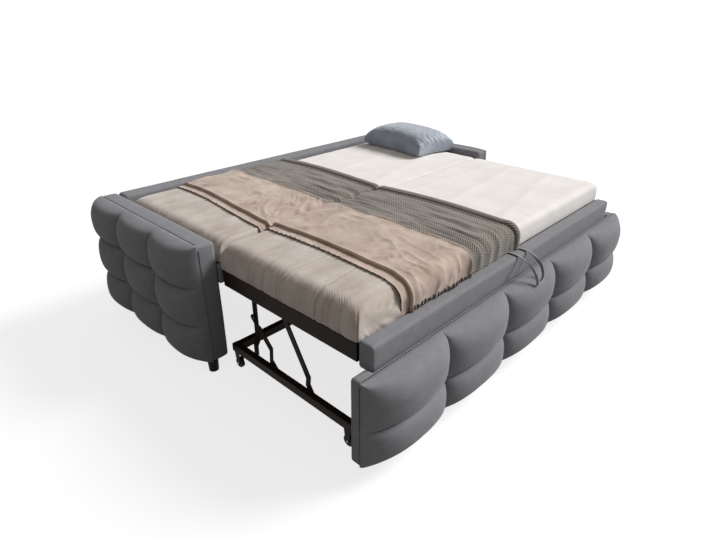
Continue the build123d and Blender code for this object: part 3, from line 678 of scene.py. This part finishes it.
def sheet_relief(loops, around, climb, front):
    """Long soft folds over a sheet's top, and small creases round its sides."""
    uneven_height, fold_height, fold_width, fold_turn, crease_height = 0.0022, 0.003, 0.028, 0.4, 0.0022
    x, y = loops[..., 0], loops[..., 1]
    soft = uneven_height * (layered(x * 5, y * 5) - 0.5)
    for start, slope in sheet_folds:
        line = front + start + slope * (x - fold_turn)
        soft = soft + fold_height * step(0.10, 0.2, climb) * bell((y - line) / fold_width)
    side = step(0.02, 0.08, climb) * (1 - step(0.14, 0.34, climb))
    return soft + crease_height * side * (ridges(around * 9, climb * 4, 2) - 0.6)


def keep_under_duvet(loops, bed):
    """Lower the made-up end's edges, because the duvet over it is rounder than the bare end."""
    front, back, round_front, round_back = duvet_spans[bed]
    for reach, place in (
        (duvet_end_round, loops[..., 0] - duvet_left),
        (round_front, loops[..., 1] - front),
        (round_back, back - loops[..., 1]),
    ):
        inside = 1 - np.clip((place - duvet_side_gap) / reach, 0, 1)
        rise = duvet_side_high * np.sqrt(np.maximum(1 - inside**2, 0))
        limit = duvet_top - duvet_side_high + rise - duvet_top_gap
        high = (loops[..., 0] < covered_right) & (loops[..., 2] > limit)
        loops[..., 2] = np.where(high, np.maximum(limit, mattress_low), loops[..., 2])


def mattress(bed):
    loops, around, climb = pad(
        (mattress_left, mattress_right),
        mattress_spans[bed],
        (mattress_low, mattress_high),
        mattress_round,
        mattress_round,
        mattress_corner,
        mattress_crown,
    )
    if bed == "main":
        y, z = loops[..., 1], loops[..., 2]
        beside_rail = (z < rail_top) & (y < rail_reach)
        loops[..., 1] = np.where(beside_rail, np.maximum(y, rail_back), y)
    relief = sheet_relief(loops, around, climb, mattress_spans[bed][0])
    loops = loops + ring_normals(loops) * relief[..., None]
    keep_under_duvet(loops, bed)
    m, n = loops.shape[:2]
    faces = grid_faces(m, n, wrap=True)
    faces.append(list(range(n))[::-1])
    weld(make(f"mattress_{bed}", loops, faces, beds[bed], "mattress_cover", (f"{bed}_mattress",)))


def pleats(across, slow):
    """Round gathers with sharp valleys between them, from 0 to 1."""
    return np.abs(2 * noise(across, slow) - 1) ** 0.75


def duvet_relief(loops, climb, front, creases):
    """How far a duvet's surface lies from its plain shape: gathers at the end, softer folds elsewhere."""
    fine_pitch, fine_height, wide_pitch, wide_height = 0.0125, 0.0032, 0.047, 0.0054
    fan_height, top_height, crease_width, crease_depth, crease_lip = 0.009, 0.006, 0.0045, 0.0035, 0.0022
    mitre_width, mitre_depth, crease_turn = 0.0035, 0.004, 0.765
    lowest, highest, calm_share = -0.0085, 0.0045, 0.85
    x, y, z = loops[..., 0], loops[..., 1], loops[..., 2]
    from_end, from_front = x - duvet_left, y - front
    # Gathers pulled in from the end seam, some long and some short
    bow = 0.35 * (0.62 - z) * np.exp(-from_front / 0.10) + 0.10 * from_end * (layered(y * 3, 0) - 0.5)
    across = y + bow + 0.012 * (layered(y * 9, x * 5 + z * 7) - 0.5)
    inward = np.maximum(climb - 0.10, 0)
    reach = 0.05 + 0.34 * noise(y * 14, 5) ** 2 + 0.10 * noise(y * 47, 8)
    fade = np.exp(-((inward / reach) ** 1.6)) * (1 - step(0.28, 0.42, from_end))
    at_end = fade * np.where(from_front > 0.012, 1, np.maximum(from_front, 0) / 0.012)
    fine = pleats(across / fine_pitch, climb * 2.5)
    wide = pleats(across / wide_pitch + 20, climb * 2 + 40)
    relief = at_end * (fine_height * (fine - 0.5) + wide_height * (wide - 0.5))
    # Folds that fan out over the front face, and soft ones on top
    turn = np.arctan2(z - 0.66, from_end + 0.05)
    fan = pleats(turn * 9 + 30, from_end * 4)
    relief = relief + (1 - step(0.0, 0.03, from_front)) * fan_height * (fan - 0.4) * step(0.0, 0.05, from_end)
    top = step(0.03, 0.1, from_end) * step(0.03, 0.1, from_front)
    relief = relief + top * top_height * (layered(x * 4 + 9, y * 11) - 0.5)
    # Pressed creases with a lip on each side, and the mitred corner
    for start, slope in creases:
        off = (y - (start + slope * (x + crease_turn))) / crease_width
        relief = relief - crease_depth * bell(off) + crease_lip * bell(np.abs(off) - 2.4)
    corner = (from_end < 0.03) & (from_front < 0.03)
    mitre = bell((from_end - from_front) / mitre_width) * corner
    relief = relief * (0.5 + 0.5 * step(0, 0.015, climb)) - mitre_depth * mitre
    calm = 1 - calm_share * step(-0.80, -0.75, x)
    return np.clip(relief * calm, lowest, highest)


def duvet(bed):
    span = front, back, _, _ = duvet_spans[bed]
    loops, _, climb = pad(
        (duvet_left, 0.4),
        span,
        (duvet_lows[bed], duvet_top),
        duvet_end_round,
        duvet_side_high,
        duvet_corner,
        duvet_crown,
        (0.008, 0.0036),
        40,
    )
    relief = duvet_relief(loops, climb, front, duvet_creases[bed])
    near_back = 0.3 + 0.7 * step(0.0, 0.04, back - loops[..., 1])
    loops = loops + ring_normals(loops) * (relief * near_back)[..., None]
    swell = 0.006 * bell((loops[..., 1] - (front + back) / 2) / 0.2)
    loops[..., 2] += swell * step(0.05, 0.3, loops[..., 0] - duvet_left)
    keep = (loops[..., 0] < duvet_right).reshape(-1)
    m, n = loops.shape[:2]
    faces = [face for face in grid_faces(m, n, wrap=True) if all(keep[i] for i in face)]
    # fold_depth: the depth of the gathers and creases, used for painted shade in their valleys
    depth = np.clip(-relief / duvet_full_depth, 0, 1)
    folds = [("fold_depth", depth)]
    node = f"{bed}_duvet"
    piece = make(f"duvet_{bed}", loops, faces, beds[bed], "duvet_cover", (node,), attributes=folds)
    weld(piece)
    thick = piece.modifiers.new("thick", "SOLIDIFY")
    thick.thickness = duvet_thick
    thick.offset = -1
    bpy.context.view_layer.objects.active = piece
    with bpy.context.temp_override(object=piece, active_object=piece, selected_objects=[piece]):
        bpy.ops.object.modifier_apply(modifier="thick")


for bed in beds:
    mattress(bed)
for bed in beds:
    duvet(bed)


# Throws: cloth laid along a line over each bed's front edge, top and back edge
cloth_top, cloth_side_high, cloth_crown, cloth_thick = 0.6165, 0.05, 0.010, 0.003
cloth_pitch, cloth_gap = 0.006, 0.0006
pull_slant = {"main": -0.8, "trundle": 0}  # how far the fleece's pulled folds slant


def bed_line(y0, y1, z_front, z_back, front, back):
    """Points over a made-up bed from one hem to the other, evenly spaced, and their outward normals."""
    low = cloth_top - cloth_side_high
    turn = np.linspace(0, pi / 2, 30)
    inset, rise = 1 - np.cos(turn), low + cloth_side_high * np.sin(turn)
    first = np.column_stack([y0 + front * inset, rise])
    last = np.column_stack([y1 - back * inset, rise])[::-1]
    y = np.linspace(first[-1, 0], last[0, 0], 80)[1:-1]
    t = (y - y[0]) / (y[-1] - y[0])
    line = [first, np.column_stack([y, cloth_top + cloth_crown * 4 * t * (1 - t)]), last]
    if z_front < low:
        line.insert(0, np.array([[y0, z_front]]))
    if z_back < low:
        line.append(np.array([[y1, z_back]]))
    line = np.concatenate(line)
    line = line[(line[:, 1] >= z_front - 1e-9) | (line[:, 0] > (y0 + y1) / 2)]
    line = line[(line[:, 1] >= z_back - 1e-9) | (line[:, 0] < (y0 + y1) / 2)]
    run = np.concatenate([[0], np.cumsum(np.linalg.norm(np.diff(line, axis=0), axis=1))])
    s = np.linspace(0, run[-1], ceil(run[-1] / cloth_pitch) + 1)
    line = np.column_stack([np.interp(s, run, line[:, 0]), np.interp(s, run, line[:, 1])])
    tangent = unit(np.gradient(line, axis=0))
    return s, line, np.column_stack([-tangent[:, 1], tangent[:, 0]])


def lay(kind, bed, slot, left, right, shape, fine):
    """Lay a cloth along a bed's line. left and right give its edges, and shape its height and side slip."""
    s, path, normal = throw_lines[bed]
    width = float(np.mean(right(path[:, 0]) - left(path[:, 0])))
    even = np.linspace(0, width, ceil(width / 0.0055) + 1)
    share = np.unique(np.concatenate([even, fine[(fine > 0) & (fine < width)]]).round(5)) / width
    length, part = np.meshgrid(s, share, indexing="ij")
    x0, x1 = left(path[:, 0])[:, None], right(path[:, 0])[:, None]
    x = x0 + (x1 - x0) * part
    lift, slip = shape(x, x - x0, x1 - x, length, bed)

    def skin(height):
        y, z = path[:, 0][:, None] + normal[:, :1] * height, path[:, 1][:, None] + normal[:, 1:] * height
        return np.stack([x + slip, y, z], 2)

    outer_skin, inner_skin = skin(lift), skin(np.maximum(lift - cloth_thick, cloth_gap))
    m, n = x.shape
    points = np.concatenate([outer_skin.reshape(-1, 3), inner_skin.reshape(-1, 3)])
    faces = grid_faces(m, n, flip=True) + grid_faces(m, n, first=m * n)
    rim = grid_rim(m, n)
    for a, b in zip(rim, rim[1:] + rim[:1]):
        faces.append((b, a, a + m * n, b + m * n))
    # fold_depth: how far each point lies below its smoothed neighbours, used for painted shade in the folds
    soft = lift.copy()
    for _ in range(6):
        across = soft[:-2, 1:-1] + soft[2:, 1:-1] + soft[1:-1, :-2] + soft[1:-1, 2:]
        soft[1:-1, 1:-1] = (across + soft[1:-1, 1:-1]) / 5
    depth = np.clip((soft - lift) / 0.0022, 0, 1)
    attributes = [
        ("cloth_across", np.tile(x.ravel(), 2)),
        ("cloth_along", np.tile(length.ravel(), 2)),
        ("fold_depth", np.tile(depth.ravel(), 2)),
    ]
    name, node = f"throw_{kind}_{bed}", f"{bed}_throw_{kind}"
    piece = make(name, points, faces, beds[bed], slot, (node,), attributes=attributes)
    return piece, outer_skin, (width, float(s[-1]))


def beige_shape(x, from_left, from_right, length, bed):
    """The fleece: a thin turned-out edge, a fold beside it, and soft creases over the rest."""
    edge_height, top_height, fold_height = 0.0035, 0.008, 0.0065
    big_height, small_height, pull_height, crush_height, hem_height = 0.0095, 0.0028, 0.0075, 0.008, 0.003
    lowest, highest = 0.0028, 0.024
    edge = 0.010 * (layered(length * 6, 2) - 0.5)
    top_layer = step(0.0425, 0.0450, from_left + edge)
    fold = fold_height * bell((from_left + edge - 0.051) / 0.007)
    warp_x = 1.1 * layered(x * 5 + 3, length * 5) + 0.6 * layered(x * 11, length * 11 + 4, 2)
    warp_s = 1.1 * layered(x * 5 + 40, length * 5 + 9)
    folds = ridges(x * 8 + warp_x, length * 7 + warp_s, 1) ** 3
    small = ridges(x * 19 + 2.2 * warp_x, length * 15 + 2.0 * warp_s, 1) ** 2
    front = bell(length / 0.24)
    back = bell((length - length.max()) / 0.16) * step(0.25, 0.34, from_left)
    pulls = ridges((x + pull_slant[bed] * length) * 29 - length * 5 + 1.6 * warp_x, length * 5 + 5, 1) ** 4
    crushed = ridges(length * 20 + x * 12 + warp_x, x * 4 + 2, 1) ** 2
    body = step(0.06, 0.11, from_left)
    lift = edge_height + top_height * top_layer + fold
    lift = lift + body * (big_height * folds * (1 - 0.6 * front) + small_height * (small - 0.25))
    lift = lift + body * (pull_height * front * (pulls - 0.12) + crush_height * back * (crushed - 0.2))
    lift = lift + (1 - top_layer) * 0.002 * (layered(length * 40, x * 30) - 0.3)
    lift = lift + hem_height * bell((from_right - 0.007) / 0.005)
    slip = 0.007 * (layered(length * 7, 4) - 0.5)
    return np.clip(lift, lowest, highest), slip


def grey_shape(x, from_left, from_right, length, bed):
    """The woven throw: a rolled right edge, a roll beside it, long soft folds, and a turned-up corner."""
    base_height, roll_height, second_height, fold_height, fine_height = 0.0042, 0.017, 0.006, 0.011, 0.0055
    lowest, highest = 0.0028, 0.021
    width = 0.024 + 0.004 * (layered(length * 5, 6) - 0.5)
    roll = roll_height * np.sqrt(np.maximum(1 - ((from_right - width) / width) ** 2, 0))
    second = second_height * bell((from_right - 0.052) / 0.008)
    warp = 0.7 * layered(x * 3, length * 2.4) + 0.25 * layered(x * 13, length * 7, 2)
    folds = ridges(x * 13 + 2 * warp, length * 1.3 + 11, 1) ** 2
    fine = ridges(x * 34 + 3 * warp, length * 3.5 + 5, 2) ** 2
    corner = bell(length / 0.13) * (bed == "trundle")
    inner = step(0.055, 0.09, from_right) * step(0.0, 0.05, from_left)
    relief = fold_height * folds + fine_height * (fine - 0.3)
    lift = base_height + roll + second * (1 - corner) + inner * relief * (1 - 0.5 * corner)
    flap = corner * 0.012 * (1 - step(0.05, 0.13, from_right)) * step(0.0, width, from_right)
    slip = 0.006 * (layered(length * 5, 9) - 0.5)
    return np.clip(np.maximum(lift, flap), lowest, highest), slip


def stitch_and_shadow_edge(bed, skin):
    """Dark dashes along the fleece's left edge: partly stitches, partly painted shadow under the edge's
    scallops.
    """
    stitch_radius, sink, away = 0.0016, 0.0012, np.array([-0.0016, 0, 0])
    stitch_and_shadow_dashes = []
    # A dark dash every five grid steps, tucked under the edge: partly stitching, partly painted shadow of the
    # scalloped edge
    for i in range(3, len(skin) - 4, 5):
        out = np.cross(skin[i + 1, 1] - skin[i - 1, 1], skin[i, 2] - skin[i, 0])
        out = out / np.linalg.norm(out)
        out = out if out[2] > 0 or out[1] < 0 else -out
        start, end = skin[i, 0] - out * sink, skin[i + 2, 0] - out * sink
        stitch_and_shadow_dashes.append([start, start * 0.7 + end * 0.3 + away, start * 0.3 + end * 0.7 + away, end])
    return tubes(f"throw_stitches_{bed}", stitch_and_shadow_dashes, stitch_radius, beds[bed], "beige_fleece", dark_thread)


def hem(bed, skin):
    """A pale thread along the fleece's right edge."""
    hem_radius, hem_rise = 0.0017, 0.0008
    line = skin[1:-1, -2] + [0.0, 0.0, hem_rise]
    return tubes(f"throw_hem_{bed}", [line], hem_radius, beds[bed], "beige_fleece", pale_thread)


def fringe(bed, skin):
    """Short strands along the fleece's front end."""
    strand_pitch, strand_radius, sway_width, first_column = 0.0075, 0.0015, 0.002, 10
    random = np.random.default_rng(3)
    strands = []
    for x in np.arange(skin[0, first_column, 0], skin[0, -1, 0], strand_pitch):
        j = int(np.clip(np.searchsorted(skin[0, :, 0], x), 1, skin.shape[1] - 1))
        sway = sway_width * (random.random(2) - 0.5)
        rise = 2 + int(random.random() * 2)
        strands.append([
            skin[rise, j] + [0, -0.0002, 0],
            skin[rise - 1, j] + [sway[0], -0.0010, 0],
            skin[0, j] + [sway[0], -0.0012, 0.001],
            skin[0, j] + [sway[1], -0.0022, -0.0015],
        ])
    return tubes("throw_fringe", strands, strand_radius, beds[bed], "beige_fleece", dark_thread)


throw_lines = {
    "main": bed_line(0.0405, 0.8675, 0.578, 0.600, 0.026, 0.030),
    "trundle": bed_line(-0.7765, 0.0325, 0.514, 0.578, 0.050, 0.026),
}
beige_lefts = {
    "main": lambda y: -0.770 + 0.045 * step(0.05, 0.8, y),
    "trundle": lambda y: -0.757 - 0.02 * (1 - step(-0.78, -0.66, y)),
}
beige_rights = {"main": lambda y: -0.352 + 0 * y, "trundle": lambda y: -0.350 + 0 * y}
grey_rights = {
    "main": lambda y: 0.035 + 0.01 * step(0.1, 0.8, y),
    "trundle": lambda y: 0.042 + 0.012 * (1 - step(-0.78, -0.68, y)),
}
near_roll, near_fold = np.arange(0.34, 0.43, 0.003), np.arange(0.032, 0.066, 0.0013)
for bed in beds:
    left, right = lambda y: -0.372 + 0 * y, grey_rights[bed]
    grey, _, flat = lay("grey", bed, "grey_weave", left, right, grey_shape, near_roll)
    left, right = beige_lefts[bed], beige_rights[bed]
    beige, skin, flat = lay("beige", bed, "beige_fleece", left, right, beige_shape, near_fold)
    extra = [stitch_and_shadow_edge(bed, skin), hem(bed, skin)]
    if bed == "trundle":
        extra.append(fringe(bed, skin))


# Pillow: two faces sewn together, blown up by its filling and rested on the mattress
def pillow():
    long_side, short_side = 0.545, 0.345
    rim_height, corner_drop, plump_height, belly_depth = 0.660, 0.012, 0.100, 0.06
    bed_height, bed_gap = 0.6128, 0.002
    pucker_height, crease_height, gather_height = 0.010, 0.006, 0.009
    turn = radians(6)
    centre = 0.872, 0.527
    count_u, count_v = 110, 90
    u = np.sin(np.linspace(-pi / 2, pi / 2, count_u + 1))
    v = np.sin(np.linspace(-pi / 2, pi / 2, count_v + 1))
    gu, gv = np.meshgrid(u, v, indexing="ij")
    plump = np.maximum((1 - np.abs(gu) ** 5) * (1 - np.abs(gv) ** 4), 0) ** 0.36
    drawn_u = gu * (1 - 0.05 * (1 - gv**2) * np.abs(gu) ** 3)
    drawn_v = gv * (1 - 0.07 * (1 - gu**2) * np.abs(gv) ** 3)
    a, b = drawn_u * long_side / 2, drawn_v * short_side / 2
    rim = rim_height - corner_drop * np.abs(gu * gv) ** 2
    edge = 1 - plump
    pucker = edge**2 * np.minimum(plump * 6, 1) * pucker_height
    crease = pucker * (ridges(gu * 9 + gv * 2.5, gv * 5 - gu * 2, 2) - 0.5)
    soft = ridges(gu * 5 - gv * 3, gv * 3 + gu * 2.2, 3) - 0.55
    crease += crease_height * np.minimum(plump * 3, 1) * soft
    gathers = ridges(gv * 7 + plump * 1.5 + 30, plump * 2 + gv, 1) ** 2 - 0.4
    crease += gather_height * gathers * step(0.80, 0.97, -gu) * np.minimum(plump * 4, 1)
    dome = 0.80 + 0.20 * (1 - gu**2) * (1 - gv**2)
    top = rim + plump_height * plump * dome + crease
    low = np.maximum(rim - belly_depth * plump**0.7, bed_height + bed_gap * (1 - plump))
    x = centre[0] + b * np.cos(turn) + a * np.sin(turn)
    y = centre[1] + a * np.cos(turn) - b * np.sin(turn)
    upper = np.stack([x, y, top], 2).reshape(-1, 3)
    lower = np.stack([x, y, np.minimum(low, top)], 2).reshape(-1, 3)
    m, n = gu.shape
    faces = grid_faces(m, n) + grid_faces(m, n, first=m * n, flip=True)
    points = np.concatenate([upper, lower])
    weld(make("pillow_soft", points, faces, "daybed", "pillow_cover", ("pillow",)), 0.0015)


pillow()


# Pull strap: a band from behind the top rail, over it and down in a loop before the cushions
def smooth_run(corners, count):
    """A line that passes smoothly through points."""
    corners = np.asarray(corners, float)
    t = np.arange(len(corners))
    fine = np.linspace(0, len(corners) - 1, count)
    before, after = 2 * corners[:1] - corners[1:2], 2 * corners[-1:] - corners[-2:-1]
    padded = np.concatenate([before, corners, after])
    k = np.minimum(fine.astype(int), len(corners) - 2)
    f = (fine - t[k])[:, None]
    p0, p1, p2, p3 = padded[k], padded[k + 1], padded[k + 2], padded[k + 3]
    bent = (2 * p0 - 5 * p1 + 4 * p2 - p3) * f**2 + (3 * p1 - p0 - 3 * p2 + p3) * f**3
    return 0.5 * (2 * p1 + (p2 - p0) * f + bent)


def strap():
    corners = [
        (-0.026, -0.7690, 0.5035),
        (-0.026, -0.7695, 0.5100),
        (-0.027, -0.7790, 0.5125),
        (-0.033, -0.8350, 0.5130),
        (-0.034, -0.8920, 0.4900),
        (-0.030, -0.9230, 0.4550),
        (-0.026, -0.9370, 0.4220),
        (-0.026, -0.9400, 0.4100),
        (-0.008, -0.9400, 0.4070),
        (0.018, -0.9370, 0.4120),
        (0.040, -0.9290, 0.4330),
        (0.048, -0.9040, 0.4720),
        (0.045, -0.8500, 0.5110),
        (0.044, -0.7900, 0.5130),
        (0.044, -0.7695, 0.5100),
        (0.044, -0.7690, 0.5035),
    ]
    run = smooth_run(corners, 190)
    along = unit(np.gradient(run, axis=0))
    rail_middle = np.array([0.0, -0.80, 0.30])
    radial = run - rail_middle
    radial[:, 0] = 0
    out = unit(radial - (radial * along).sum(1, keepdims=True) * along)
    wide = np.cross(along, out)
    most_twist, twist_start, twist_end = pi / 2.2, 0.840, 0.930
    twist = (most_twist * step(twist_start, twist_end, -run[:, 1]))[:, None]
    across = np.cos(twist) * wide + np.sin(twist) * out
    thick = np.cos(twist) * out - np.sin(twist) * wide
    half_width, edge_in, edge_low, edge_high = 0.0065, 0.0003, 0.0007, 0.0013
    middle_high, middle_low = 0.0009, 0.0011
    section = [
        (-half_width, -edge_low),
        (edge_in - half_width, edge_high),
        (0, middle_high),
        (half_width - edge_in, edge_high),
        (half_width, -edge_low),
        (0, -middle_low),
    ]
    points = [p + a * w + b * o for p, w, o in zip(run, across, thick) for a, b in section]
    faces = grid_faces(len(run), len(section), wrap=True, flip=True)
    faces.append(list(range(len(section))))
    faces.append(list(range(len(points) - 1, len(points) - len(section) - 1, -1)))
    band = make("pull_strap_band", points, faces, "platform", "strap_webbing", ("pull_strap",))
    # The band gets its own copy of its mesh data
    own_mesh(band)


strap()


# Floor, lights and background
def seen_directly(tree):
    """1 where a camera, mirror or glass ray looks, else 0."""
    path = tree.nodes.new("ShaderNodeLightPath")
    total = path.outputs["Is Camera Ray"]
    for ray in ("Is Glossy Ray", "Is Transmission Ray"):
        node = tree.nodes.new("ShaderNodeMath")
        node.operation = "MAXIMUM"
        tree.links.new(total, node.inputs[0])
        tree.links.new(path.outputs[ray], node.inputs[1])
        total = node.outputs[0]
    return total


def surroundings():
    half_floor, floor_grey, floor_glow = 40, 0.24, 0.77
    corners = [(x * half_floor, y * half_floor, 0) for x, y in ((-1, -1), (1, -1), (1, 1), (-1, 1))]
    mesh = bpy.data.meshes.new("floor")
    mesh.from_pydata(corners, [], [(0, 1, 2, 3)])
    floor = bpy.data.objects.new("floor", mesh)
    scene.collection.objects.link(floor)
    material = bpy.data.materials.new("floor")
    material.use_nodes = True
    tree = material.node_tree
    shader = tree.nodes["Principled BSDF"]
    put(shader, Base_Color=(floor_grey, floor_grey, floor_grey, 1), Roughness=0.9)
    glow = tree.nodes.new("ShaderNodeEmission")
    put(glow, Color=(floor_glow, floor_glow, floor_glow, 1))
    tree.links.new(seen_directly(tree), glow.inputs["Strength"])
    add = tree.nodes.new("ShaderNodeAddShader")
    tree.links.new(shader.outputs[0], add.inputs[0])
    tree.links.new(glow.outputs[0], add.inputs[1])
    tree.links.new(add.outputs[0], tree.nodes["Material Output"].inputs["Surface"])
    floor.data.materials.append(material)

    world = bpy.data.worlds.new("studio")
    scene.world = world
    world.use_nodes = True
    tree = world.node_tree
    ambient = tree.nodes["Background"]
    put(ambient, Color=(1, 0.95, 0.9, 1), Strength=0.28)
    white = tree.nodes.new("ShaderNodeBackground")
    put(white, Color=(1, 1, 1, 1), Strength=1)
    mix = tree.nodes.new("ShaderNodeMixShader")
    tree.links.new(seen_directly(tree), mix.inputs[0])
    tree.links.new(ambient.outputs[0], mix.inputs[1])
    tree.links.new(white.outputs[0], mix.inputs[2])
    tree.links.new(mix.outputs[0], tree.nodes["World Output"].inputs["Surface"])

    sun = bpy.data.objects.new("sun", bpy.data.lights.new("sun", "SUN"))
    sun.data.energy = 4.35
    sun.data.angle = radians(24)
    sunlight = Vector((-0.74, 0.33, -0.59))
    sun.rotation_euler = sunlight.to_track_quat("-Z", "Y").to_euler()
    scene.collection.objects.link(sun)


surroundings()
